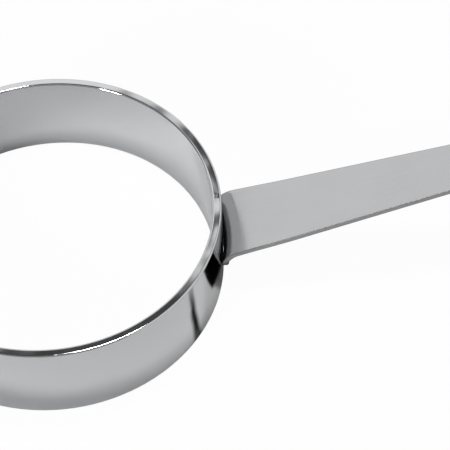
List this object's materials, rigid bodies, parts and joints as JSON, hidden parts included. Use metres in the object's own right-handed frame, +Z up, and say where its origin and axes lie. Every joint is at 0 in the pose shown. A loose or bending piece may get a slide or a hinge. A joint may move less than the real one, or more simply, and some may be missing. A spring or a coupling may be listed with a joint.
{
  "type": "egg ring",
  "caption": "Round open steel band for frying an egg in shape, with a flat tapered strap handle that rises from the band's middle height to a rounded tip and whose bent tab is spot-welded to the band's outside.",
  "frame": {"origin": "middle of the whole length and width, at the band's lower rim, where it stands", "axes": "+X along the handle from the band to the tip, +Z up along the band's axis"},
  "size_m": [0.18, 0.09, 0.0373],
  "materials": {
    "polished_steel": "polished stainless steel with fine drawing lines",
    "weld_steel": "dull dressed weld metal"
  },
  "bodies": {
    "root": {"ring_band": "polished_steel", "band_seam_weld": "weld_steel", "handle_strap": "polished_steel", "front_spot_weld": "weld_steel", "back_spot_weld": "weld_steel"}
  },
  "joints": []
}
